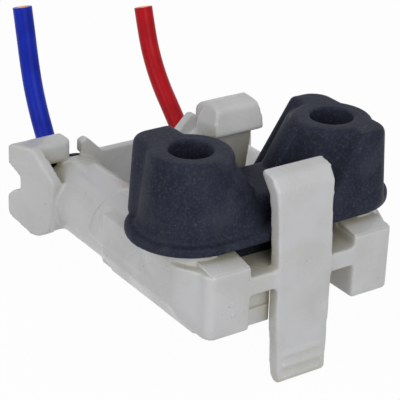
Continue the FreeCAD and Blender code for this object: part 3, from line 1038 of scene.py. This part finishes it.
@dataclass
class Studio:
    """White floor, soft lamps and the camera at the photograph's angle."""

    floor_height: float = -10.6 * MM
    floor_size: float = 4.0
    floor_grey: float = 0.72
    shadow_share: float = 0.03
    world_strength: float = 0.36
    lamps: Sequence[Lamp] = (
        Lamp("top", (-0.05, -0.08, 0.46), side=0.30, power=0.20),
        Lamp("front", (-0.06, -0.44, 0.20), side=0.34, power=0.78),
        Lamp("side", (-0.45, -0.05, 0.20), side=0.30, power=0.50),
    )
    lit_point: Point = (0.0, 0.015, 0.008)
    camera_place: Point = (-0.13105, -0.17196, 0.11572)
    camera_right: Point = (0.8278, -0.5601, 0.0323)
    camera_up: Point = (0.2158, 0.3711, 0.9032)
    camera_ahead: Point = (0.5179, 0.7407, -0.4280)
    lens: float = 144.27
    sensor: float = 36.0
    clip_near: float = 0.01

    def build(self) -> None:
        """Set up the whole studio."""
        self._camera()
        self._floor()
        self._world()
        for lamp in self.lamps:
            lamp.build(self.lit_point)
        bpy.context.scene.view_settings.view_transform = "Standard"

    def _camera(self) -> None:
        """Place the camera, by the three directions that were fitted to the photograph."""
        data = bpy.data.cameras.new("camera")
        data.lens = self.lens
        data.sensor_width = self.sensor
        data.clip_start = self.clip_near
        camera = bpy.data.objects.new("camera", data)
        bpy.context.scene.collection.objects.link(camera)
        turn = Matrix((self.camera_right, self.camera_up, [-v for v in self.camera_ahead])).transposed()
        camera.matrix_world = Matrix.Translation(self.camera_place) @ turn.to_4x4()
        bpy.context.scene.camera = camera

    @staticmethod
    def _white_share(canvas: NodeCanvas) -> bpy.types.NodeSocket:
        """Pick out the rays that see plain white: those of the camera, of gloss and of glass.

        Args:
            canvas: The floor's or the world's node tree.

        Returns:
            A mask that is 1 for those rays.
        """
        path = canvas.add("ShaderNodeLightPath")
        seen = canvas.maths("MAXIMUM", path.outputs["Is Camera Ray"], path.outputs["Is Glossy Ray"])
        return canvas.maths("MAXIMUM", seen, path.outputs["Is Transmission Ray"])

    def _floor(self) -> None:
        """Make the floor, white to the camera with a faint shadow."""
        deselect_all()
        bpy.ops.mesh.primitive_plane_add(size=self.floor_size, location=(0, 0, self.floor_height))
        floor = bpy.context.object
        floor.name = "studio_floor"
        settle(floor)
        material = bpy.data.materials.new("studio_white")
        material.use_nodes = True
        canvas = NodeCanvas(material.node_tree)
        shader = material.node_tree.nodes["Principled BSDF"]
        shader.inputs["Base Color"].default_value = (*[self.floor_grey] * 3, 1.0)
        shader.inputs["Roughness"].default_value = 1.0
        shader.inputs["Specular IOR Level"].default_value = 0.0
        glow = canvas.add("ShaderNodeEmission")
        blend = canvas.add("ShaderNodeMixShader")
        white = canvas.maths("MULTIPLY", self._white_share(canvas), 1 - self.shadow_share)
        canvas.link(white, blend.inputs[0])
        canvas.link(shader.outputs[0], blend.inputs[1])
        canvas.link(glow.outputs[0], blend.inputs[2])
        canvas.link(blend.outputs[0], material.node_tree.nodes["Material Output"].inputs["Surface"])
        dress(floor, material)

    def _world(self) -> None:
        """Light the object softly from all round, with a white background."""
        world = bpy.data.worlds.new("studio")
        world.use_nodes = True
        canvas = NodeCanvas(world.node_tree)
        sky = world.node_tree.nodes["Background"]
        sky.inputs["Color"].default_value = (1.0, 1.0, 1.0, 1.0)
        strength = canvas.maths("MULTIPLY_ADD", self._white_share(canvas), 1 - self.world_strength,
                                self.world_strength)
        canvas.link(strength, sky.inputs["Strength"])
        bpy.context.scene.world = world


@dataclass
class Connector:
    """The whole pigtail connector."""

    mouldings: Sequence[SoftenedMoulding] = (
        SoftenedMoulding("housing", "housing_shell", "housing", cell=0.25 * MM, passes=9, kept_share=0.30),
        SoftenedMoulding("boot_seal", "boot_seal_rubber", "boot_seal", cell=0.22 * MM, passes=6,
                         kept_share=0.40),
    )
    wires: Sequence[Wire] = (
        Wire(Insulation.BLUE, (
            (-12.7, 32.6, 5.1), (-12.7, 36.2, 5.1), (-12.7, 38.5, 5.8), (-12.7, 40.4, 7.4),
            (-12.7, 42.3, 10.5), (-12.7, 44.6, 14.2), (-12.7, 46.5, 18.2), (-12.7, 47.8, 22.4),
            (-12.7, 48.8, 26.8), (-12.7, 49.9, 31.2),
        ), length=0.0343),
        Wire(Insulation.RED, (
            (12.7, 32.6, 5.1), (12.7, 36.3, 5.1), (12.7, 38.9, 6.1), (12.7, 41.1, 8.3),
            (12.7, 43.7, 10.8), (12.7, 46.9, 13.8), (12.7, 49.5, 17.3), (12.7, 51.5, 21.3),
            (12.7, 53.0, 26.2),
        ), length=0.0314),
    )
    plain_nodes: Sequence[tuple[str, str]] = (
        ("wire_seal_left", "wire_seal"), ("wire_seal_right", "wire_seal"),
        ("terminal_left", "terminal"), ("terminal_right", "terminal"),
        ("blue_strands", "strands"), ("red_strands", "strands"),
        ("blue_wire_end", "blue_insulation"), ("red_wire_end", "red_insulation"),
    )

    def build(self, frame: dict) -> None:
        """Dress the whole connector.
        """
        finishes = Finishes()
        for wire in self.wires:
            wire.build(finishes)
        for node, slot in self.plain_nodes:
            dress(frame["nodes"][node], finishes.of(slot))
        for moulding in self.mouldings:
            moulding.build(frame, finishes)
        GateMark().build(finishes)
        StopWeb().build(finishes)
        for side, word in ((-1, "left"), (1, "right")):
            Shoulder(word + "_shoulder", side).build(finishes)


def main() -> None:
    """Build the studio and the connector; the pieces log as they are made, the moulded ones with their face
    counts.
    """
    logging.basicConfig(level=logging.INFO, format="%(name)s: %(message)s")
    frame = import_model()
    Studio().build()
    Connector().build(frame)


if __name__ == "__main__":
    main()
